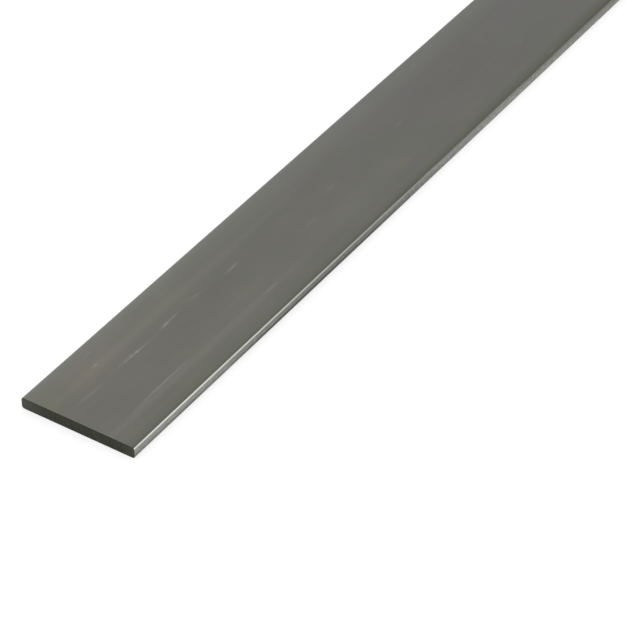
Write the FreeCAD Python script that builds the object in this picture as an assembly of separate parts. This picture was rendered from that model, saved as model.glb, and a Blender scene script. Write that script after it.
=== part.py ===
import FreeCAD, Part
import math
import os

from FreeCAD import Vector

# Driving dimensions, in millimetres
BAR_WIDTH = 50.0        # across the two wide rolled faces, along Y
BAR_THICKNESS = 5.0     # between the two wide rolled faces, along Z
BAR_LENGTH = 1000.0     # from cut end to cut end, along X
EDGE_RADIUS = 1.0       # round that the rolls leave on each of the four long edges

# The two rounds on a narrow side take at most this share of the thickness, so the side keeps a flat.
ROUNDED_SHARE = 0.95


def edge_round():
    """Return the radius of the long edges, limited by the thickness that two of them share."""
    return min(EDGE_RADIUS, ROUNDED_SHARE * BAR_THICKNESS / 2)


def rolled_corner(centre, radius, start_angle):
    """Return one rounded corner of the section: a quarter circle, anticlockwise as seen from +X."""
    steps = (0, math.pi / 4, math.pi / 2)
    points = [centre + Vector(0, radius * math.cos(start_angle + step), radius * math.sin(start_angle + step))
              for step in steps]
    return Part.Arc(*points).toShape()


def rolled_section():
    """Return the section at the -X end: two wide flats and two narrow ones, joined by four rounds."""
    radius = edge_round()
    middle = Vector(-BAR_LENGTH / 2, 0, BAR_THICKNESS / 2)
    reach_y = BAR_WIDTH / 2 - radius
    reach_z = BAR_THICKNESS / 2 - radius
    corners = [
        rolled_corner(middle + Vector(0, side * reach_y, level * reach_z), radius, start_angle)
        for side, level, start_angle in (
            (1, -1, -math.pi / 2),
            (1, 1, 0),
            (-1, 1, math.pi / 2),
            (-1, -1, math.pi),
        )
    ]
    outline = []
    for corner, following in zip(corners, corners[1:] + corners[:1]):
        flat = Part.LineSegment(corner.lastVertex().Point, following.firstVertex().Point).toShape()
        outline += [corner, flat]
    return Part.Face(Part.Wire(outline))


def flat_bar():
    """Return the bar: one rolled length, cut square at both ends, lying on a wide face.

    The origin is on the plane that the bar rests on, under the middle of its length and width.
    """
    return rolled_section().extrude(Vector(BAR_LENGTH, 0, 0))


os.makedirs("parts", exist_ok=True)
flat_bar().exportStep("parts/flat_bar.step")
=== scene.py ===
import logging
import math
from dataclasses import dataclass
from enum import Enum
from typing import Any

import bpy
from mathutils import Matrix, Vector


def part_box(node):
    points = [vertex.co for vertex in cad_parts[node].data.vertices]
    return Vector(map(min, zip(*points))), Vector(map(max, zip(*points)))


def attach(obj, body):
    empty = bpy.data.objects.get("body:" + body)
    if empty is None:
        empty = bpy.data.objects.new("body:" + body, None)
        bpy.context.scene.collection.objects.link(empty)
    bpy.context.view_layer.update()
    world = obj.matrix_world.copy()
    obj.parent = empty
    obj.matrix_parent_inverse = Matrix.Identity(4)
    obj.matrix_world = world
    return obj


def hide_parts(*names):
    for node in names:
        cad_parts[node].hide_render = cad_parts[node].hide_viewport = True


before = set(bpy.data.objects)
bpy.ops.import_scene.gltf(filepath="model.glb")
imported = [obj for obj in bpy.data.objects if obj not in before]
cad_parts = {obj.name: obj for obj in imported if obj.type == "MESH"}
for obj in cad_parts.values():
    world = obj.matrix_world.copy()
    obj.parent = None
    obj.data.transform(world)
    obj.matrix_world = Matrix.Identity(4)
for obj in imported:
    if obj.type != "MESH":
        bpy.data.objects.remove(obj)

LOG = logging.getLogger("flat_bar")

MM = 0.001

# Node kinds that the trees use most
MATH = "ShaderNodeMath"
VECTOR = "ShaderNodeVectorMath"

# Sockets of the Mix node for colours, which shares its sockets' names with other kinds of value
MIX_UNDER = 6
MIX_OVER = 7
MIX_RESULT = 2

# What a node's input sockets are set to: by name or number, a value or the output socket to link
Inputs = dict[str | int, Any]

# Attribute that keeps where each point lay on the sharp box, for the bake map
STOCK_PLACE = "place_on_sharp_box"

# How many finer layers each noise has, and how far apart the patterns are cut from it, in its cells
NOISE_DETAIL = 2.0
PATTERN_STEP = 3

# The height that the relief goes up and down from
MEAN_HEIGHT = 0.5

# How strongly the points of the wide faces and of the narrow sides crowd towards the long edges (1: evenly)
COLUMN_CROWDING = 2.0
ROW_CROWDING = 1.2

# How a wide face curves as it falls off towards a long edge (1: straight)
SHOULDER_CURVE = 2.0

# How long one wave of a wandering side is
WANDER_LENGTH = 90 * MM

# How squarely a face of a cut end looks along the bar, at least, and how far the skin turns at its corners
END_FACING = 0.9
CUT_CORNER_ANGLE = math.radians(60)

# Between the pieces of the bake map
BAKE_GAP = 2 * MM


def linear(colour: str, alpha: float = 1.0) -> tuple[float, float, float, float]:
    """Turn an sRGB hex colour into the linear one that a shader takes.

    Args:
        colour: six hex digits, with or without a leading hash.
        alpha: the fourth value, passed through.

    Returns:
        Red, green and blue as linear light, and alpha.
    """
    digits = colour.lstrip("#")
    shares = [int(digits[at:at + 2], 16) / 255 for at in (0, 2, 4)]
    red, green, blue = (s / 12.92 if s <= 0.04045 else ((s + 0.055) / 1.055) ** 2.4 for s in shares)
    return red, green, blue, alpha


def add_node(tree: bpy.types.NodeTree, kind: str, inputs: Inputs | None = None,
             **settings: Any) -> bpy.types.Node:
    """Add one node to a tree, with its settings, values and links.

    Args:
        tree: the shader or geometry tree that gets the node.
        kind: the node's type name.
        inputs: its input sockets.
        **settings: attributes of the node, set before its sockets because they may change them.

    Returns:
        The new node.
    """
    node = tree.nodes.new(kind)
    for name, value in settings.items():
        setattr(node, name, value)
    for socket, value in (inputs or {}).items():
        if isinstance(value, bpy.types.NodeSocket):
            tree.links.new(value, node.inputs[socket])
        else:
            node.inputs[socket].default_value = value
    return node


class Surface(Enum):
    """The two surfaces of the bar, numbered as its material slots."""

    ROLLED = 0
    CUT = 1


class Pattern(Enum):
    """The patterns of the steel's skin: how long and how wide one cell of each is, in millimetres.

    LINE, GRAIN, SAW and PIT are a tenth of a millimetre or finer on real steel, and are drawn as coarse as
    they need to show.
    """

    TONE = (48.0, 13.0)
    HUE = (34.0, 12.0)
    TINT = (26.0, 15.0)
    STREAK = (210.0, 2.4)
    LINE = (70.0, 0.5)
    GRAIN = (0.9, 0.5)
    NICK = (16.0, 0.55)
    RUB = (22.0, 1.6)
    SAW = (2.6, 0.35)
    PIT = (0.5, 0.5)
    BLOTCH = (19.0, 9.0)
    FLECK = (1.8, 0.6)


# Several patterns, each with how much it adds from its lowest to its highest
Mixture = tuple[tuple[Pattern, float], ...]

# Where something starts to show, and where it shows in full
Reach = tuple[float, float]


@dataclass(frozen=True)
class Mark:
    """One mark along the bar, strongest in its middle and fading out towards its ends and sides.

    Attributes:
        middle: its middle, in millimetres from the near end, across from the middle line, and up from below.
        size: how long, wide and deep it is, in millimetres.
        turn: how far it is turned off the bar's direction, in degrees.
        strength: how much it changes the skin in its middle. One above 1 is full for some way round it.
    """

    middle: tuple[float, float, float]
    size: tuple[float, float, float]
    turn: float = 0.0
    strength: float = 0.5


@dataclass(frozen=True)
class Tint:
    """A colour that comes and goes over the steel with a pattern.

    Attributes:
        colour: the colour.
        pattern: what it follows.
        reach: the pattern's value where it starts to show, and the one from which it shows in full.
        share: how much of it there is then, from 0 to 1, or the marks that it keeps to.
        roughness: how rough it is, or None where it is as rough as the skin round it.
    """

    colour: str
    pattern: Pattern
    reach: Reach
    share: float | tuple[Mark, ...]
    roughness: float | None = None


@dataclass(frozen=True)
class Strip:
    """One strip along a long edge of the upper face, strongest at the edge: painted sheen along the back
    edge, painted shade along the front one.

    Attributes:
        colour: its colour.
        width: how far it reaches in from the edge, in millimetres.
        strength: how much of it there is at the edge, from 0 to 1.
    """

    colour: str
    width: float
    strength: float


class SteelTree:
    """The node tree of one steel finish: a ground coat, and what is laid over it."""

    def __init__(self, name: str, bar: "FlatBar", colour: str, roughness: float, lengthwise: bool) -> None:
        """Start a material for the bar.

        Args:
            name: the material's name.
            bar: the bar that wears it.
            colour: the ground colour.
            roughness: the ground roughness.
            lengthwise: whether the cells of its patterns lie along the bar, or else upright, on a cut end.
        """
        self.bar = bar
        self.lengthwise = lengthwise
        self.material = bpy.data.materials.new(name)
        self.material.use_nodes = True
        self.tree = self.material.node_tree
        self.place = self.add("ShaderNodeTexCoord").outputs["Object"]
        self.axes = self.add("ShaderNodeSeparateXYZ", {0: self.place}).outputs
        self.patterns: dict[Pattern, bpy.types.NodeSocket] = {}
        self.colour: Any = linear(colour)
        self.roughness: Any = roughness

    def add(self, kind: str, inputs: Inputs | None = None, **settings: Any) -> bpy.types.Node:
        """Add one node to this tree, as add_node does."""
        return add_node(self.tree, kind, inputs, **settings)

    def noise(self, pattern: Pattern) -> bpy.types.NodeSocket:
        """Draw one pattern in the steel, once for all that follow it.

        Args:
            pattern: which one.

        Returns:
            Its value, about 0.5 on average.
        """
        if pattern not in self.patterns:
            along, across = (1 / (size * MM) for size in pattern.value)
            scale = (along, across, across) if self.lengthwise else (across, across, along)
            shift = tuple(float(PATTERN_STEP * list(Pattern).index(pattern) + axis) for axis in range(3))
            cells = self.add("ShaderNodeMapping", {"Vector": self.place, "Location": shift, "Scale": scale})
            noise = self.add("ShaderNodeTexNoise",
                             {"Vector": cells.outputs[0], "Scale": 1.0, "Detail": NOISE_DETAIL})
            self.patterns[pattern] = noise.outputs[0]
        return self.patterns[pattern]

    def distance(self, axis: str, place: float, direction: int) -> bpy.types.NodeSocket:
        """Measure how far each point lies from a plane across one axis.

        Args:
            axis: the axis.
            place: where the plane crosses it.
            direction: 1 to measure along the axis, and -1 to measure against it.

        Returns:
            The distance, in radii of the bar's long edges.
        """
        scale = direction / self.bar.edge_radius
        line = {0: self.axes[axis], 1: scale, 2: -place * scale}
        return self.add(MATH, line, operation="MULTIPLY_ADD").outputs[0]

    def where(self, *steps: tuple[bpy.types.NodeSocket, Reach], share: Any = 1.0) -> bpy.types.NodeSocket:
        """Mask off the part of the surface where every one of some measures is past its soft step.

        Args:
            *steps: each measure, with the value where it starts to count and the one where it counts in full.
            share: how strong the mask is where all of them count in full, as a number or another mask.

        Returns:
            The mask.
        """
        mask = share
        for measure, (start, full) in steps:
            step = self.add("ShaderNodeMapRange",
                            {"Value": measure, "From Min": start, "From Max": full, "To Max": mask},
                            interpolation_type="SMOOTHSTEP")
            mask = step.outputs[0]
        return mask

    def marks(self, marks: tuple[Mark, ...]) -> bpy.types.NodeSocket:
        """Draw all of the given marks.

        Args:
            marks: the marks.

        Returns:
            How strong the strongest of them is at each point.
        """
        strongest: Any = 0.0
        for mark in marks:
            along, across, up = (value * MM for value in mark.middle)
            ball = self.add("ShaderNodeMapping",
                            {"Vector": self.place, "Location": (along - self.bar.length / 2, across, up),
                             "Rotation": (0, 0, math.radians(mark.turn)),
                             "Scale": tuple(size / 2 * MM for size in mark.size)}, vector_type="TEXTURE")
            fade = self.add("ShaderNodeTexGradient", {"Vector": ball.outputs[0]}, gradient_type="SPHERICAL")
            scaled = self.add(MATH, {0: fade.outputs["Fac"], 1: mark.strength}, operation="MULTIPLY")
            strongest = self.add(MATH, {0: strongest, 1: scaled.outputs[0]}, operation="MAXIMUM").outputs[0]
        return strongest

    def spread(self, mixture: Mixture, level: float) -> bpy.types.NodeSocket:
        """Vary a level by several patterns.

        Args:
            mixture: the patterns.
            level: the level without them.

        Returns:
            The varied level.
        """
        total: Any = level - sum(amount for _, amount in mixture) / 2
        for pattern, amount in mixture:
            parts = {0: self.noise(pattern), 1: amount, 2: total}
            total = self.add(MATH, parts, operation="MULTIPLY_ADD").outputs[0]
        return total

    def lay(self, mask: Any, colour: str, roughness: float | None = None) -> None:
        """Lay a coat over what is there so far.

        Args:
            mask: how much of it there is at each point, from 0 to 1.
            colour: its colour.
            roughness: its roughness, or None where it takes that of what it lies on.
        """
        coat = self.add("ShaderNodeMix", {"Factor": mask, MIX_UNDER: self.colour, MIX_OVER: linear(colour)},
                        data_type="RGBA")
        self.colour = coat.outputs[MIX_RESULT]
        if roughness is not None:
            coat = self.add("ShaderNodeMix", {"Factor": mask, "A": self.roughness, "B": roughness},
                            data_type="FLOAT")
            self.roughness = coat.outputs[0]

    def tint(self, tint: Tint, *steps: tuple[bpy.types.NodeSocket, Reach]) -> None:
        """Lay a tint over what is there so far.

        Args:
            tint: the tint.
            *steps: what else it keeps to, as in where.
        """
        share = self.marks(tint.share) if isinstance(tint.share, tuple) else tint.share
        mask = self.where((self.noise(tint.pattern), tint.reach), *steps, share=share)
        self.lay(mask, tint.colour, tint.roughness)

    def mottle(self, mixture: Mixture) -> None:
        """Lighten and darken the colour so far by several patterns."""
        self.colour = self.add(VECTOR, {0: self.colour, "Scale": self.spread(mixture, level=1.0)},
                               operation="SCALE").outputs[0]

    def finish(self, relief: Mixture, depth: float) -> bpy.types.Material:
        """Connect the shader.

        Args:
            relief: the patterns that raise the surface.
            depth: how deep the relief is, in millimetres.

        Returns:
            The finished material.
        """
        height = self.spread(relief, level=MEAN_HEIGHT)
        bump = self.add("ShaderNodeBump", {"Height": height, "Strength": 1.0, "Distance": depth * MM})
        shader = self.tree.nodes["Principled BSDF"]
        shader.inputs["Metallic"].default_value = 1.0
        self.tree.links.new(self.colour, shader.inputs["Base Color"])
        self.tree.links.new(self.roughness, shader.inputs["Roughness"])
        self.tree.links.new(bump.outputs[0], shader.inputs["Normal"])
        return self.material


@dataclass(frozen=True)
class RolledSteel:
    """Mild steel as the rolls leave it, with a light coat of oil.

    To the eye it is a satin grey skin, faintly mottled with khaki and brown, with streaks and fine lines
    along the bar. A painted sheen lightens the near end and the back upper edge, and painted shade, with some
    oil, darkens the front upper edge. The narrow sides are paler and smoother, the rounds are worn through to
    bright metal in places, the upper rounds carry a painted highlight and the lower rounds painted shade.

    Attributes:
        ground: the colour of the skin.
        pale: its colour in the pale streaks.
        oil_and_shade: its colour where the oil has gathered, and of the painted shade along the front edge.
        side: the colour of the narrow sides.
        drab: their colour where they are darker.
        painted_shade: the colour of the painted shade on the lower rounds.
        bare_and_highlight: the colour of steel worn through to the metal, also laid on the upper rounds as a
            painted highlight.
        roughness: how rough the wide faces are.
        side_roughness: how rough the narrow sides are.
        bare_roughness: how rough steel worn through to the metal is.
        depth: how deep the relief is, in millimetres.
        khaki_places: where the skin turns khaki.
        stains: where it is stained brown.
        rubbed: where in the pattern RUB the stains and the worn places show.
        tints: what comes and goes over the skin, the lowest first.
        side_flecks: the light and dark flecks of the narrow sides.
        nicks: the small places all over where the skin is worn through.
        rubbed_round_highlight: how much of the upper rounds is worn through and painted as a highlight,
            besides the stretches of painted highlight.
        shading: the patterns that lighten and darken the skin.
        gloss: the patterns that vary the wide faces' roughness.
        relief: the patterns that raise the skin.
        top_down: how far down from the top the strips reach.
        strip_full: how far in from the edge they are full.
        side_in: how far in from the side the narrow sides' colour reaches.
        shade_in: how far in from the side the painted shade on the lower rounds reaches.
        shade_up: how far up from below it reaches.
        upper_round_in: how far in from the side the worn places and painted highlight of the upper rounds
            reach.
        upper_round_down: how far down from the top they reach.
        back_sheen_strips: the strips of painted sheen along the back edge, the lowest first.
        front_shade_strips: the strips along the front edge: painted shade with an olive tinge.
        scratches_and_glint: the scratched places, and a painted highlight on the front side, under its upper
            round.
        pale_streaks_and_sheen: the pale streaks, the widest last, with painted sheen along the back edge and,
            in the widest, over the whole near end.
        oil_and_shade_stretches: where the oil has gathered, and where painted shade darkens the front edge.
        drab_stretches: where the narrow sides are darker.
        painted_shade_stretches: where the lower rounds carry painted shade.
        highlight_stretches: where the upper rounds carry a painted highlight, partly steel worn through to
            the metal.
    """

    ground: str = "#666662"
    pale: str = "#7B7A71"
    # Oil, with painted shade along the front edge
    oil_and_shade: str = "#555549"
    side: str = "#8A8A84"
    drab: str = "#696963"
    # Painted shade on the lower rounds, which face the shadowed floor under the bar
    painted_shade: str = "#40403A"
    # Steel worn through to the metal, also used for the painted highlight on the upper rounds
    bare_and_highlight: str = "#C4C4BF"
    roughness: float = 0.42
    side_roughness: float = 0.34
    bare_roughness: float = 0.24
    depth: float = 0.006

    khaki_places: tuple[Mark, ...] = (
        Mark(middle=(15, 16, 5), size=(300, 34, 9), strength=0.8),
        Mark(middle=(60, -14, 5), size=(280, 28, 9), strength=0.5),
        Mark(middle=(185, -13, 5), size=(190, 24, 9), strength=0.4),
        Mark(middle=(560, 4, 5), size=(260, 60, 9), strength=0.4),
        Mark(middle=(880, -6, 5), size=(200, 60, 9), strength=0.4),
        Mark(middle=(300, 0, 0), size=(500, 60, 9), strength=0.4),
    )
    stains: tuple[Mark, ...] = (
        Mark(middle=(26, 15, 5), size=(50, 26, 9), strength=0.6),
        Mark(middle=(44, 20, 5), size=(30, 9, 9), strength=0.5),
        Mark(middle=(655, -12, 5), size=(46, 20, 9), strength=0.4),
    )
    rubbed: Reach = (0.2, 0.6)
    tints: tuple[Tint, ...] = (
        Tint("#676664", Pattern.HUE, reach=(0.38, 0.62), share=0.8),
        Tint("#726C62", Pattern.TINT, reach=(0.50, 0.72), share=0.2),
        Tint("#6D6E5E", Pattern.BLOTCH, reach=(0.32, 0.66), share=khaki_places),
        Tint("#7A6E6A", Pattern.RUB, reach=rubbed, share=stains),
    )
    side_flecks: tuple[Tint, ...] = (
        Tint("#B8B8B2", Pattern.FLECK, reach=(0.50, 0.66), share=0.22),
        Tint("#50504B", Pattern.FLECK, reach=(0.50, 0.34), share=0.22),
    )
    nicks: Tint = Tint(bare_and_highlight, Pattern.NICK, reach=(0.70, 0.80), share=0.2, roughness=bare_roughness)
    # Painted highlight on the upper rounds, partly worn-through steel
    rubbed_round_highlight: float = 0.12
    shading: Mixture = (
        (Pattern.TONE, 0.17),
        (Pattern.STREAK, 0.10),
        (Pattern.LINE, 0.04),
        (Pattern.GRAIN, 0.06),
    )
    gloss: Mixture = ((Pattern.TONE, 0.05), (Pattern.STREAK, 0.06), (Pattern.LINE, 0.08))
    relief: Mixture = ((Pattern.LINE, 0.7), (Pattern.GRAIN, 0.3), (Pattern.STREAK, 0.3))

    # How far in from the sides, down from the top or up from below each place reaches, in edge radii
    top_down: Reach = (2.5, 0.0)
    strip_full: float = 0.5
    side_in: Reach = (0.25, 0.02)
    # Where the painted shade on the lower rounds reaches
    shade_in: Reach = (1.4, 1.0)
    shade_up: Reach = (2.4, 1.5)
    upper_round_in: Reach = (0.55, 0.17)
    upper_round_down: Reach = (1.2, 0.6)

    # Painted sheen along the back upper edge
    back_sheen_strips: tuple[Strip, ...] = (
        Strip(colour="#797B76", width=13.0, strength=0.45),
    )
    # Painted shade along the front upper edge, with an olive tinge
    front_shade_strips: tuple[Strip, ...] = (
        Strip(colour="#67695B", width=9.0, strength=0.5),
        Strip(colour="#55574D", width=5.0, strength=0.25),
        Strip(colour="#575953", width=1.8, strength=0.35),
    )
    scratches_and_glint: tuple[Mark, ...] = (
        Mark(middle=(14, 5.2, 5), size=(16, 1.6, 3), turn=-3.0, strength=0.11),
        Mark(middle=(21, -13.5, 5), size=(20, 1.2, 3), turn=4.0, strength=0.12),
        Mark(middle=(28.5, 13.4, 5), size=(4.5, 1.8, 3), strength=0.15),
        Mark(middle=(35, -12.8, 5), size=(38, 1.4, 3), turn=0.4, strength=0.20),
        Mark(middle=(36.5, 5.7, 5), size=(4, 2.0, 3), strength=0.14),
        Mark(middle=(40, 5.7, 5), size=(4, 2.2, 3), strength=0.22),
        Mark(middle=(43.2, 5.5, 5), size=(5, 1.8, 3), strength=0.34),
        Mark(middle=(44, 5.5, 5), size=(34, 1.8, 3), turn=-1.6, strength=0.14),
        Mark(middle=(61.5, 6.0, 5), size=(8, 1.5, 3), turn=2.0, strength=0.32),
        Mark(middle=(66, 6.2, 5), size=(12, 1.0, 3), strength=0.18),
        Mark(middle=(81, 6.6, 5), size=(12, 1.4, 3), turn=-8.0, strength=0.08),
        Mark(middle=(101, -14.5, 5), size=(13, 1.4, 3), turn=-2.0, strength=0.20),
        Mark(middle=(102.5, 5.0, 5), size=(12, 1.4, 3), turn=1.5, strength=0.26),
        Mark(middle=(166, 1.3, 5), size=(12, 2.0, 3), strength=0.05),
        # Painted highlight on the front side, under its upper round
        Mark(middle=(195, -25, 3.5), size=(90, 3, 2.2), strength=0.25),
        Mark(middle=(217, 2.5, 5), size=(8, 2.0, 3), strength=0.06),
        Mark(middle=(412, -6.0, 5), size=(16, 1.4, 3), turn=2.5, strength=0.20),
        Mark(middle=(505, 13.0, 5), size=(36, 1.2, 3), turn=-0.5, strength=0.14),
        Mark(middle=(598, -15.0, 5), size=(9, 1.8, 3), turn=4.0, strength=0.26),
        Mark(middle=(690, 4.0, 5), size=(24, 1.4, 3), turn=-2.0, strength=0.16),
        Mark(middle=(698, 2.2, 5), size=(7, 1.8, 3), turn=-6.0, strength=0.24),
        Mark(middle=(815, -9.0, 5), size=(30, 1.2, 3), turn=1.0, strength=0.15),
        Mark(middle=(930, 9.5, 5), size=(12, 1.6, 3), turn=3.0, strength=0.24),
        Mark(middle=(957, -4.0, 5), size=(20, 1.4, 3), turn=-2.5, strength=0.16),
        Mark(middle=(140, -7.0, 0), size=(28, 1.4, 3), turn=2.0, strength=0.20),
        Mark(middle=(430, 10.0, 0), size=(14, 1.6, 3), turn=-4.0, strength=0.24),
        Mark(middle=(720, -3.0, 0), size=(34, 1.2, 3), turn=1.0, strength=0.18),
    )
    pale_streaks_and_sheen: tuple[Mark, ...] = (
        Mark(middle=(35, -14.6, 5), size=(260, 7.5, 5), strength=0.65),
        Mark(middle=(40, 12.3, 5), size=(310, 10, 5), strength=0.65),
        # Painted sheen along the back edge of the near end
        Mark(middle=(45, 25, 5), size=(280, 12, 9), strength=0.9),
        Mark(middle=(62, -24, 5), size=(120, 5, 5), strength=0.7),
        # A painted sheen over the whole near end
        Mark(middle=(10, 3, 5), size=(460, 120, 30), strength=0.35),
    )
    oil_and_shade_stretches: tuple[Mark, ...] = (
        Mark(middle=(90, 2, 5), size=(400, 26, 5), strength=0.15),
        Mark(middle=(88, -25, 3.5), size=(80, 3, 1.4), strength=0.4),
        Mark(middle=(158, -25, 2.9), size=(150, 3, 2.6), strength=0.35),
        # Painted shade along the front edge of the far half, with the oil
        Mark(middle=(420, -24.5, 5), size=(560, 11, 6), strength=0.75),
        Mark(middle=(420, -24.6, 4.8), size=(420, 3.6, 3), strength=1.2),
        Mark(middle=(800, 24.5, 5), size=(420, 9, 6), strength=0.7),
    )
    drab_stretches: tuple[Mark, ...] = (
        Mark(middle=(152, -25, 2.5), size=(215, 40, 40), strength=1.5),
        Mark(middle=(340, -25, 2.5), size=(260, 60, 60), strength=0.75),
        Mark(middle=(620, -25, 2.5), size=(300, 40, 40), strength=1.2),
        Mark(middle=(330, 25, 2.5), size=(420, 40, 40), strength=1.2),
        Mark(middle=(880, 25, 2.5), size=(280, 40, 40), strength=1.0),
    )
    # Where the lower rounds carry painted shade
    painted_shade_stretches: tuple[Mark, ...] = (
        Mark(middle=(30, -25, 1), size=(160, 60, 60), strength=0.6),
        Mark(middle=(118, -25, 1), size=(146, 60, 60), strength=2.0),
        Mark(middle=(640, -25, 1), size=(380, 60, 60), strength=1.0),
        Mark(middle=(330, 25, 1), size=(440, 60, 60), strength=1.2),
        Mark(middle=(900, 25, 1), size=(240, 60, 60), strength=0.9),
    )
    # Painted highlight on the upper rounds, partly worn-through steel
    highlight_stretches: tuple[Mark, ...] = (
        Mark(middle=(20, -25, 4.5), size=(370, 60, 60), strength=1.1),
        Mark(middle=(790, -25, 4.5), size=(360, 60, 60), strength=0.8),
        Mark(middle=(620, 25, 4.5), size=(340, 60, 60), strength=0.7),
        Mark(middle=(60, 25, 4.5), size=(260, 60, 60), strength=0.6),
    )

    def material(self, bar: "FlatBar") -> bpy.types.Material:
        """Build the finish.

        Args:
            bar: the bar that wears it, whose sizes place what lies along its edges.

        Returns:
            The material.
        """
        steel = SteelTree("rolled_mild_steel", bar, self.ground, self.roughness, lengthwise=True)
        from_front, from_back = steel.distance("Y", -bar.width / 2, 1), steel.distance("Y", bar.width / 2, -1)
        from_side = steel.add(MATH, {0: from_front, 1: from_back}, operation="MINIMUM").outputs[0]
        from_top, from_below = steel.distance("Z", bar.thickness, -1), steel.distance("Z", 0.0, 1)

        # The skin with its pale streaks and painted sheen, and the strips along the upper edges: painted
        # sheen at the back, painted shade at the front
        for tint in self.tints:
            steel.tint(tint)
        # Pale streaks, with painted sheen
        steel.lay(steel.marks(self.pale_streaks_and_sheen), self.pale)
        for from_edge, strips in ((from_back, self.back_sheen_strips), (from_front, self.front_shade_strips)):
            for strip in strips:
                reach = (strip.width * MM / bar.edge_radius, self.strip_full)
                steel.lay(steel.where((from_edge, reach), (from_top, self.top_down), share=strip.strength),
                          strip.colour)

        # The narrow sides, then the oil with painted shade along the front edge, and the painted shade on the
        # lower rounds, over all
        on_side = (from_side, self.side_in)
        on_shaded_lower_round = ((from_side, self.shade_in), (from_below, self.shade_up))
        steel.roughness = steel.spread(self.gloss, level=self.roughness)
        steel.lay(steel.where(on_side), self.side, self.side_roughness)
        steel.lay(steel.where(on_side, share=steel.marks(self.drab_stretches)), self.drab)
        for tint in self.side_flecks:
            steel.tint(tint, on_side)
        # Oil, and painted shade along the front edge
        steel.lay(steel.marks(self.oil_and_shade_stretches), self.oil_and_shade)
        # Painted shade on the lower rounds
        steel.lay(steel.where(*on_shaded_lower_round, share=steel.marks(self.painted_shade_stretches)), self.painted_shade)
        steel.mottle(self.shading)

        # Steel worn through to the metal, and a painted highlight in its colour on the upper rounds and under
        # the front one
        on_upper_round = ((from_side, self.upper_round_in), (from_top, self.upper_round_down))
        rubbed = (steel.noise(Pattern.RUB), self.rubbed)
        steel.tint(self.nicks)
        for mask in (
            # Scratched places, and a painted highlight on the front side
            steel.where(rubbed, share=steel.marks(self.scratches_and_glint)),
            # Painted highlight on the upper rounds, partly worn-through steel
            steel.where(*on_upper_round, rubbed, share=self.rubbed_round_highlight),
            steel.where(*on_upper_round, share=steel.marks(self.highlight_stretches)),
        ):
            steel.lay(mask, self.bare_and_highlight, self.bare_roughness)
        return steel.finish(self.relief, self.depth)


@dataclass(frozen=True)
class CutSteel:
    """The cut end of the bar.

    To the eye it is dark, dull and matt beside the rolled faces, with the saw's fine lines across its
    thickness, small pits, and paler places at the sides. Its colour is darkened with painted shade, as the
    end faces away from the light.

    Attributes:
        face: the colour of the cut, darkened with painted shade.
        pale: its colour in the paler places.
        roughness: how rough it is.
        depth: how deep the relief is, in millimetres.
        saw_lines: the dark lines of the saw.
        shading: the patterns that lighten and darken the cut.
        gloss: the patterns that vary its roughness.
        relief: the patterns that raise it.
        pale_places: where it is paler.
    """

    # The cut's colour is darkened with painted shade, as the end faces away from the light
    face: str = "#41423A"
    pale: str = "#53554D"
    roughness: float = 0.55
    depth: float = 0.03
    saw_lines: Tint = Tint("#35362D", Pattern.SAW, reach=(0.35, 0.7), share=1.0)
    shading: Mixture = ((Pattern.PIT, 0.28), (Pattern.SAW, 0.12))
    gloss: Mixture = ((Pattern.PIT, 0.1), (Pattern.SAW, 0.1))
    relief: Mixture = ((Pattern.SAW, 0.7), (Pattern.PIT, 0.5))
    pale_places: tuple[Mark, ...] = (
        Mark(middle=(0, 25, 3), size=(30, 22, 16), strength=0.9),
        Mark(middle=(0, -25, 3), size=(30, 12, 16), strength=0.4),
        Mark(middle=(1000, -22, 2), size=(30, 30, 16), strength=0.8),
    )

    def material(self, bar: "FlatBar") -> bpy.types.Material:
        """Build the finish.

        Args:
            bar: the bar that wears it.

        Returns:
            The material.
        """
        steel = SteelTree("cut_mild_steel", bar, self.face, self.roughness, lengthwise=False)
        steel.tint(self.saw_lines)
        steel.lay(steel.marks(self.pale_places), self.pale)
        steel.mottle(self.shading)
        steel.roughness = steel.spread(self.gloss, level=self.roughness)
        return steel.finish(self.relief, self.depth)


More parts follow.
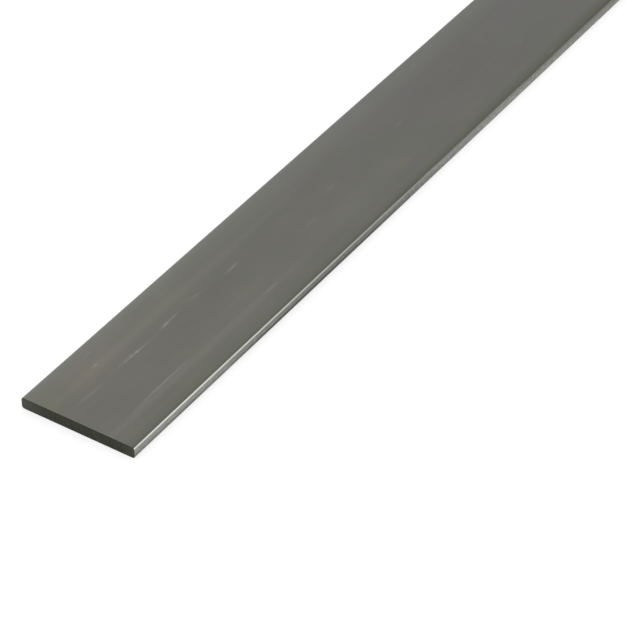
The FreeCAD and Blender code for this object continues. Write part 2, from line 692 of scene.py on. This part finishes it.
@dataclass
class FlatBar:
    """The rolled flat bar: a long box whose four long edges are rounded, cut square at both ends.

    Attributes:
        length: from cut end to cut end, in metres, as all sizes here.
        width: across the wide faces.
        thickness: between the wide faces.
        edge_radius: the round of the long edges.
        shoulder: how wide the strip is over which a wide face falls off towards each round.
        fall: how far it falls there.
        wander: how far the narrow sides wander inward along the bar.
        columns: how many rows of faces a wide face has across.
        rows: how many rows of faces a narrow side has from top to bottom.
        blocks: how many equal lengths the bake map cuts the skin into.
        stations_per_block: how many steps the mesh takes along each of those.
        seed: picks the course of the wandering sides.
    """

    length: float
    width: float
    thickness: float
    edge_radius: float = 1.0 * MM
    shoulder: float = 4.0 * MM
    fall: float = 0.07 * MM
    wander: float = 0.12 * MM
    columns: int = 40
    rows: int = 16
    blocks: int = 9
    stations_per_block: int = 28
    seed: float = 4.0

    def _sizes(self) -> dict[str, float | int]:
        """Name what shapes the bar, for the inputs of its geometry tree.

        Returns:
            Each size and count by its input's name, a count as a whole number.
        """
        return {
            "Length": self.length,
            "Width": self.width,
            "Thickness": self.thickness,
            "Edge Radius": self.edge_radius,
            "Shoulder": self.shoulder,
            "Fall": self.fall,
            "Wander": self.wander,
            "Seed": self.seed,
            "Stations": self.blocks * self.stations_per_block + 1,
            "Columns": self.columns + 1,
            "Rows": self.rows + 1,
        }

    def shape_tree(self, finishes: dict[Surface, bpy.types.Material]) -> bpy.types.NodeTree:
        """Build the geometry tree that shapes the bar.

        Args:
            finishes: the material of each surface.

        Returns:
            The tree, with the bar's sizes as named inputs.
        """
        tree = bpy.data.node_groups.new("rolled_bar", "GeometryNodeTree")
        for name, size in self._sizes().items():
            kind = "NodeSocketInt" if isinstance(size, int) else "NodeSocketFloat"
            tree.interface.new_socket(name, in_out="INPUT", socket_type=kind)
        tree.interface.new_socket("Geometry", in_out="OUTPUT", socket_type="NodeSocketGeometry")
        sizes = add_node(tree, "NodeGroupInput").outputs

        half = add_node(tree, "ShaderNodeCombineXYZ",
                        {"X": sizes["Length"], "Y": sizes["Width"], "Z": sizes["Thickness"]})
        half = add_node(tree, VECTOR, {0: half.outputs[0], "Scale": 0.5}, operation="SCALE").outputs[0]
        stock = self._stock(tree, sizes, half)
        rounded = self._round_edges(tree, sizes, half, stock)
        rolled = self._roll(tree, sizes, half, rounded)
        dressed = self._dress(tree, rolled, finishes)
        realized = add_node(tree, "GeometryNodeRealizeInstances", {"Geometry": dressed})
        add_node(tree, "NodeGroupOutput", {"Geometry": realized.outputs["Geometry"]})
        return tree

    def _stock(self, tree: bpy.types.NodeTree, sizes: Any,
               half: bpy.types.NodeSocket) -> bpy.types.NodeSocket:
        """Make the sharp box, with its points crowded towards the long edges, and note where each point lies.

        Args:
            tree: the geometry tree.
            sizes: its inputs, by name.
            half: half of the bar's length, width and thickness.

        Returns:
            The box, with the attribute that the bake map is made from.
        """
        # The cube goes from -1 to 1, so that its points are shares of the half sizes
        box = add_node(tree, "GeometryNodeMeshCube",
                       {"Size": (2, 2, 2), "Vertices X": sizes["Stations"], "Vertices Y": sizes["Columns"],
                        "Vertices Z": sizes["Rows"]})
        place = add_node(tree, "GeometryNodeInputPosition").outputs[0]
        share = add_node(tree, "ShaderNodeSeparateXYZ", {0: place})
        crowded = []
        for axis, power in (("Y", COLUMN_CROWDING), ("Z", ROW_CROWDING)):
            size = add_node(tree, MATH, {0: share.outputs[axis]}, operation="ABSOLUTE").outputs[0]
            inward = add_node(tree, MATH, {0: 1.0, 1: size}, operation="SUBTRACT").outputs[0]
            eased = add_node(tree, MATH, {0: inward, 1: power}, operation="POWER").outputs[0]
            outward = add_node(tree, MATH, {0: 1.0, 1: eased}, operation="SUBTRACT").outputs[0]
            side = add_node(tree, MATH, {0: share.outputs[axis]}, operation="SIGN").outputs[0]
            crowded.append(add_node(tree, MATH, {0: outward, 1: side}, operation="MULTIPLY").outputs[0])
        across, up = crowded
        spread = add_node(tree, "ShaderNodeCombineXYZ", {"X": share.outputs["X"], "Y": across, "Z": up})
        place = add_node(tree, VECTOR, {0: spread.outputs[0], 1: half}, operation="MULTIPLY").outputs[0]
        placed = add_node(tree, "GeometryNodeSetPosition",
                          {"Geometry": box.outputs["Mesh"], "Position": place})
        here = add_node(tree, "GeometryNodeInputPosition").outputs[0]
        kept = add_node(tree, "GeometryNodeStoreNamedAttribute",
                        {"Geometry": placed.outputs[0], "Name": STOCK_PLACE, "Value": here},
                        data_type="FLOAT_VECTOR", domain="POINT")
        return kept.outputs[0]

    def _round_edges(self, tree: bpy.types.NodeTree, sizes: Any, half: bpy.types.NodeSocket,
                     mesh: bpy.types.NodeSocket) -> bpy.types.NodeSocket:
        """Round the four long edges: what lies beyond the inner box is drawn in to one distance from it.

        Args:
            tree: the geometry tree.
            sizes: its inputs, by name.
            half: half of the bar's length, width and thickness.
            mesh: the sharp box.

        Returns:
            The rounded box.
        """
        here = add_node(tree, "GeometryNodeInputPosition").outputs[0]
        inset = add_node(tree, "ShaderNodeCombineXYZ", {"Y": sizes["Edge Radius"], "Z": sizes["Edge Radius"]})
        high = add_node(tree, VECTOR, {0: half, 1: inset.outputs[0]}, operation="SUBTRACT").outputs[0]
        low = add_node(tree, VECTOR, {0: high, "Scale": -1.0}, operation="SCALE").outputs[0]
        inner = add_node(tree, VECTOR, {0: here, 1: low}, operation="MAXIMUM").outputs[0]
        inner = add_node(tree, VECTOR, {0: inner, 1: high}, operation="MINIMUM").outputs[0]
        beyond = add_node(tree, VECTOR, {0: here, 1: inner}, operation="SUBTRACT").outputs[0]
        sides = add_node(tree, "ShaderNodeSeparateXYZ",
                         {0: add_node(tree, VECTOR, {0: beyond}, operation="ABSOLUTE").outputs[0]}).outputs
        reach = add_node(tree, MATH, {0: sides["Y"], 1: sides["Z"]}, operation="MAXIMUM").outputs[0]
        outward = add_node(tree, VECTOR, {0: beyond}, operation="NORMALIZE").outputs[0]
        drawn = add_node(tree, VECTOR, {0: outward, "Scale": reach}, operation="SCALE").outputs[0]
        place = add_node(tree, VECTOR, {0: inner, 1: drawn}, operation="ADD").outputs[0]
        return add_node(tree, "GeometryNodeSetPosition", {"Geometry": mesh, "Position": place}).outputs[0]

    def _roll(self, tree: bpy.types.NodeTree, sizes: Any, half: bpy.types.NodeSocket,
              mesh: bpy.types.NodeSocket) -> bpy.types.NodeSocket:
        """Leave the marks of worn rolls: wide faces that fall off towards the long edges, sides that wander.

        Args:
            tree: the geometry tree.
            sizes: its inputs, by name.
            half: half of the bar's length, width and thickness.
            mesh: the rounded box.

        Returns:
            The rolled bar, standing on its lower wide face.
        """
        halves = add_node(tree, "ShaderNodeSeparateXYZ", {0: half}).outputs
        here = add_node(tree, "ShaderNodeSeparateXYZ",
                        {0: add_node(tree, "GeometryNodeInputPosition").outputs[0]}).outputs
        out = add_node(tree, MATH, {0: here["Y"]}, operation="ABSOLUTE").outputs[0]
        start = add_node(tree, MATH, {0: halves["Y"], 1: sizes["Shoulder"]}, operation="SUBTRACT").outputs[0]
        near_edge = add_node(tree, "ShaderNodeMapRange",
                             {"Value": out, "From Min": start, "From Max": halves["Y"]}).outputs[0]
        curve = add_node(tree, MATH, {0: near_edge, 1: SHOULDER_CURVE}, operation="POWER").outputs[0]
        fallen = add_node(tree, MATH, {0: curve, 1: sizes["Fall"]}, operation="MULTIPLY").outputs[0]
        fallen = add_node(tree, MATH, {0: fallen, 1: halves["Z"]}, operation="DIVIDE").outputs[0]
        thinned = add_node(tree, MATH, {0: 1.0, 1: fallen}, operation="SUBTRACT").outputs[0]
        height = add_node(tree, MATH, {0: here["Z"], 1: thinned, 2: halves["Z"]},
                          operation="MULTIPLY_ADD").outputs[0]

        side = add_node(tree, MATH, {0: here["Y"]}, operation="SIGN").outputs[0]
        along = add_node(tree, MATH, {0: here["X"], 1: WANDER_LENGTH}, operation="DIVIDE").outputs[0]
        course = add_node(tree, "ShaderNodeCombineXYZ", {"X": along, "Y": side, "Z": sizes["Seed"]})
        noise = add_node(tree, "ShaderNodeTexNoise",
                         {"Vector": course.outputs[0], "Scale": 1.0, "Detail": NOISE_DETAIL}).outputs[0]
        inward = add_node(tree, MATH, {0: noise, 1: sizes["Wander"]}, operation="MULTIPLY").outputs[0]
        inward = add_node(tree, MATH, {0: inward, 1: halves["Y"]}, operation="DIVIDE").outputs[0]
        narrowed = add_node(tree, MATH, {0: 1.0, 1: inward}, operation="SUBTRACT").outputs[0]
        across = add_node(tree, MATH, {0: here["Y"], 1: narrowed}, operation="MULTIPLY").outputs[0]
        place = add_node(tree, "ShaderNodeCombineXYZ", {"X": here["X"], "Y": across, "Z": height}).outputs[0]
        return add_node(tree, "GeometryNodeSetPosition", {"Geometry": mesh, "Position": place}).outputs[0]

    def _dress(self, tree: bpy.types.NodeTree, mesh: bpy.types.NodeSocket,
               finishes: dict[Surface, bpy.types.Material]) -> bpy.types.NodeSocket:
        """Give the ends and the rolled surfaces their finishes, and keep the cut corners sharp.

        Args:
            tree: the geometry tree.
            mesh: the shaped mesh.
            finishes: the material of each surface.

        Returns:
            The dressed mesh.
        """
        normal = add_node(tree, "GeometryNodeInputNormal").outputs[0]
        facing = add_node(tree, "ShaderNodeSeparateXYZ", {0: normal}).outputs
        lengthwise = add_node(tree, MATH, {0: facing["X"]}, operation="ABSOLUTE")
        is_end = add_node(tree, "FunctionNodeCompare", {0: lengthwise.outputs[0], 1: END_FACING},
                          data_type="FLOAT", operation="GREATER_THAN").outputs[0]
        is_rolled = add_node(tree, "FunctionNodeBooleanMath", {0: is_end}, operation="NOT").outputs[0]
        smooth = add_node(tree, "GeometryNodeSetShadeSmooth", {"Geometry": mesh, "Shade Smooth": is_rolled},
                          domain="FACE")
        turn = add_node(tree, "GeometryNodeInputMeshEdgeAngle").outputs["Unsigned Angle"]
        is_cut_corner = add_node(tree, "FunctionNodeCompare", {0: turn, 1: CUT_CORNER_ANGLE},
                                 data_type="FLOAT", operation="GREATER_THAN").outputs[0]
        crisp = add_node(tree, "GeometryNodeSetShadeSmooth",
                         {"Geometry": smooth.outputs[0], "Selection": is_cut_corner, "Shade Smooth": False},
                         domain="EDGE")
        rolled = add_node(tree, "GeometryNodeSetMaterial",
                          {"Geometry": crisp.outputs[0], "Material": finishes[Surface.ROLLED]})
        both = add_node(tree, "GeometryNodeSetMaterial",
                        {"Geometry": rolled.outputs[0], "Selection": is_end,
                         "Material": finishes[Surface.CUT]})
        return both.outputs[0]

    def _add_bake_map(self, mesh: bpy.types.Mesh) -> None:
        """Lay the surface out flat: the skin unrolled and cut into equal lengths in rows, and the ends above.

        Args:
            mesh: the finished mesh, with the places that its points had on the sharp box.
        """
        per_row = round(math.sqrt(self.blocks))
        block_length = self.length / self.blocks
        perimeter = 2 * (self.width + self.thickness)
        ends_height = per_row * (perimeter + BAKE_GAP)
        side = max(per_row * (block_length + BAKE_GAP), ends_height + self.thickness + BAKE_GAP)
        places = mesh.attributes[STOCK_PLACE].data
        layer = mesh.uv_layers.new(name="OFBake")
        for face in mesh.polygons:
            corners = [places[index].vector for index in face.vertices]
            middle = sum(corners, Vector()) / len(corners)
            if face.material_index == Surface.CUT.value:
                shift = 0.0 if middle.x < 0 else self.width + BAKE_GAP
                flat = [(shift + self.width / 2 + corner.y, ends_height + self.thickness / 2 + corner.z)
                        for corner in corners]
            else:
                block = int((middle.x + self.length / 2) / block_length)
                row, place_in_row = divmod(block, per_row)
                left = place_in_row * (block_length + BAKE_GAP) - block * block_length + self.length / 2
                bottom = row * (perimeter + BAKE_GAP)
                flat = [(left + corner.x, bottom + self._around(corner, middle)) for corner in corners]
            for loop, (u, v) in zip(face.loop_indices, flat):
                layer.data[loop].uv = (u / side, v / side)
        mesh.attributes.remove(mesh.attributes[STOCK_PLACE])

    def _around(self, corner: Vector, middle: Vector) -> float:
        """Return how far round the sharp box's section a point lies, from the upper front edge backwards.

        Args:
            corner: the point.
            middle: the middle of its face, which tells the side of the box.

        Returns:
            The distance in metres.
        """
        half_width, half_thickness = self.width / 2, self.thickness / 2
        if abs(middle.z) / half_thickness > abs(middle.y) / half_width:
            if middle.z > 0:
                return corner.y + half_width
            return self.width + self.thickness + half_width - corner.y
        if middle.y > 0:
            return self.width + half_thickness - corner.z
        return 2 * self.width + self.thickness + half_thickness + corner.z

    def build(self) -> bpy.types.Object:
        """Make the bar as one plain mesh object at the origin.

        Returns:
            The bar.
        """
        finishes = {Surface.ROLLED: RolledSteel().material(self), Surface.CUT: CutSteel().material(self)}
        tree = self.shape_tree(finishes)
        raw = bpy.data.objects.new("rolled_bar_raw", bpy.data.meshes.new("rolled_bar_raw"))
        bpy.context.scene.collection.objects.link(raw)
        modifier = raw.modifiers.new("shape", "NODES")
        modifier.node_group = tree
        sizes = self._sizes()
        for socket in tree.interface.items_tree:
            if socket.in_out == "INPUT":
                modifier[socket.identifier] = sizes[socket.name]
        mesh = bpy.data.meshes.new_from_object(raw.evaluated_get(bpy.context.evaluated_depsgraph_get()))
        raw.modifiers.clear()
        bpy.data.objects.remove(raw)
        mesh.name = "flat_bar_dressed"
        mesh.materials.pop(index=0)  # the empty slot that the box starts with
        self._add_bake_map(mesh)
        bar = bpy.data.objects.new("flat_bar_dressed", mesh)
        bpy.context.scene.collection.objects.link(bar)
        return bar


@dataclass(frozen=True)
class Softbox:
    """A rectangular studio lamp.

    Attributes:
        name: what it is called.
        place: its middle, in metres.
        aim: the point that it faces.
        width: its level side.
        height: its other side.
        radiance: how bright its face is, where 1 shows as white.
    """

    name: str
    place: tuple[float, float, float]
    aim: tuple[float, float, float]
    width: float
    height: float
    radiance: float

    def build(self) -> bpy.types.Object:
        """Hang the lamp in the scene.

        Returns:
            The lamp.
        """
        lamp = bpy.data.lights.new(self.name, "AREA")
        lamp.shape = "RECTANGLE"
        lamp.size = self.width
        lamp.size_y = self.height
        lamp.energy = self.radiance * math.pi * self.width * self.height
        piece = bpy.data.objects.new(self.name, lamp)
        piece.location = self.place
        piece.rotation_euler = (Vector(self.aim) - Vector(self.place)).to_track_quat("-Z", "Y").to_euler()
        piece.visible_camera = False
        bpy.context.scene.collection.objects.link(piece)
        return piece


@dataclass(frozen=True)
class Studio:
    """A pale floor under a plain soft light.

    Attributes:
        ambient: how bright the room is all round for the floor, where 1 shows as white.
        floor_size: the side of the square floor, in metres.
        floor_colour: its paint.
        floor_glow: what the eye and the steel see of it besides the light that it throws back.
        softboxes: the lamps.
    """

    ambient: float = 0.8
    floor_size: float = 60.0
    floor_colour: str = "#BCBCBC"
    floor_glow: float = 0.66
    softboxes: tuple[Softbox, ...] = (
        Softbox("back_softbox", place=(0.35, 1.15, 0.62), aim=(-0.3, 0.0, 0.0), width=1.5, height=0.7,
                radiance=0.25),
        Softbox("edge_softbox", place=(-0.02, -0.85, 0.19), aim=(-0.4, 0.0, 0.0), width=0.9, height=0.36,
                radiance=0.8),
    )

    def build(self) -> None:
        """Lay the floor, light the room and hang the lamps."""
        self._light_room()
        self._lay_floor()
        for softbox in self.softboxes:
            softbox.build()

    def _light_room(self) -> None:
        """Fill the room with an even light, and show it white to the eye and to the steel."""
        world = bpy.data.worlds.new("studio")
        world.use_nodes = True
        tree = world.node_tree
        brightness = add_node(tree, "ShaderNodeMapRange",
                              {"Value": self._seen(tree), "To Min": self.ambient, "To Max": 1.0})
        background = tree.nodes["Background"]
        background.inputs["Color"].default_value = (1, 1, 1, 1)
        tree.links.new(brightness.outputs[0], background.inputs["Strength"])
        bpy.context.scene.world = world

    def _seen(self, tree: bpy.types.NodeTree) -> bpy.types.NodeSocket:
        """Tell the rays by which a thing is seen, straight or in steel or glass, from those that only light.

        Args:
            tree: the tree of the floor or the room.

        Returns:
            1 for those rays and 0 for the others.
        """
        rays = add_node(tree, "ShaderNodeLightPath").outputs
        seen = rays["Is Camera Ray"]
        for kind in ("Is Glossy Ray", "Is Transmission Ray"):
            seen = add_node(tree, MATH, {0: seen, 1: rays[kind]}, operation="MAXIMUM").outputs[0]
        return seen

    def _lay_floor(self) -> None:
        """Lay the floor, which shows white to the eye and to the steel, and still takes the bar's shadow."""
        half = self.floor_size / 2
        corners = [(-half, -half, 0), (half, -half, 0), (half, half, 0), (-half, half, 0)]
        mesh = bpy.data.meshes.new("studio_floor")
        mesh.from_pydata(corners, [], [(0, 1, 2, 3)])
        floor = bpy.data.objects.new("studio_floor", mesh)
        bpy.context.scene.collection.objects.link(floor)
        material = bpy.data.materials.new("pale_floor")
        material.use_nodes = True
        tree = material.node_tree
        tree.nodes.clear()
        strength = add_node(tree, MATH, {0: self._seen(tree), 1: self.floor_glow}, operation="MULTIPLY")
        glow = add_node(tree, "ShaderNodeEmission", {"Strength": strength.outputs[0]})
        paint = add_node(tree, "ShaderNodeBsdfDiffuse", {"Color": linear(self.floor_colour)})
        total = add_node(tree, "ShaderNodeAddShader", {0: glow.outputs[0], 1: paint.outputs[0]})
        add_node(tree, "ShaderNodeOutputMaterial", {"Surface": total.outputs[0]})
        mesh.materials.append(material)


@dataclass(frozen=True)
class PhotoCamera:
    """The photograph's camera, fitted to the bar's outline.

    Attributes:
        azimuth: where it stands, in degrees: 0 looks along +Y, and a negative angle is on the -X side.
        elevation: how far above the horizon it stands, in degrees.
        distance: how far it is, along its line of sight, from the near end's middle, in metres.
        offset: where that point lies right of and above its line of sight, in metres.
        focal_pixels: its focal length, in pixels of the photograph.
        frame_pixels: the photograph's side, in pixels.
        sensor: the sensor's width, in millimetres.
        sight: how far it sees, in metres.
    """

    azimuth: float = -56.694
    elevation: float = 39.054
    distance: float = 0.98817
    offset: tuple[float, float] = (-0.085593, -0.039958)
    focal_pixels: float = 2795.0
    frame_pixels: int = 640
    sensor: float = 36.0
    sight: float = 100.0

    def build(self, near_end: Vector) -> bpy.types.Object:
        """Set up the camera.

        Args:
            near_end: the lowest middle point of the bar's near end.

        Returns:
            The camera, which is the scene's camera too.
        """
        turn = math.radians(self.azimuth)
        rise = math.radians(self.elevation)
        back = Vector((math.sin(turn) * math.cos(rise), -math.cos(turn) * math.cos(rise), math.sin(rise)))
        right = Vector((math.cos(turn), math.sin(turn), 0))
        up = back.cross(right)
        data = bpy.data.cameras.new("photo_camera")
        data.sensor_width = self.sensor
        data.lens = self.focal_pixels / self.frame_pixels * self.sensor
        data.clip_end = self.sight
        camera = bpy.data.objects.new("photo_camera", data)
        camera.location = near_end - right * self.offset[0] - up * self.offset[1] + back * self.distance
        camera.rotation_euler = back.to_track_quat("Z", "Y").to_euler()
        bpy.context.scene.collection.objects.link(camera)
        bpy.context.scene.camera = camera
        return camera


def write_sizes() -> None:
    """Update the view layer.
    """
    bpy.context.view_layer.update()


def main() -> None:
    """Dress the bar, set up the studio and the camera, and report each piece."""
    logging.basicConfig(level=logging.INFO, format="%(name)s: %(message)s")
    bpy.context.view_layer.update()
    low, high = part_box("flat_bar")
    length, width, thickness = high - low

    bar = FlatBar(length=length, width=width, thickness=thickness).build()
    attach(bar, "root")
    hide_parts("flat_bar")
    LOG.info("bar: %d faces, %.0f x %.0f x %.0f mm",
             len(bar.data.polygons), length / MM, width / MM, thickness / MM)

    Studio().build()
    PhotoCamera().build(near_end=Vector((low.x, 0, 0)))
    bpy.context.scene.view_settings.view_transform = "Standard"
    LOG.info("studio and camera are set up")
    write_sizes()


if __name__ == "__main__":
    main()
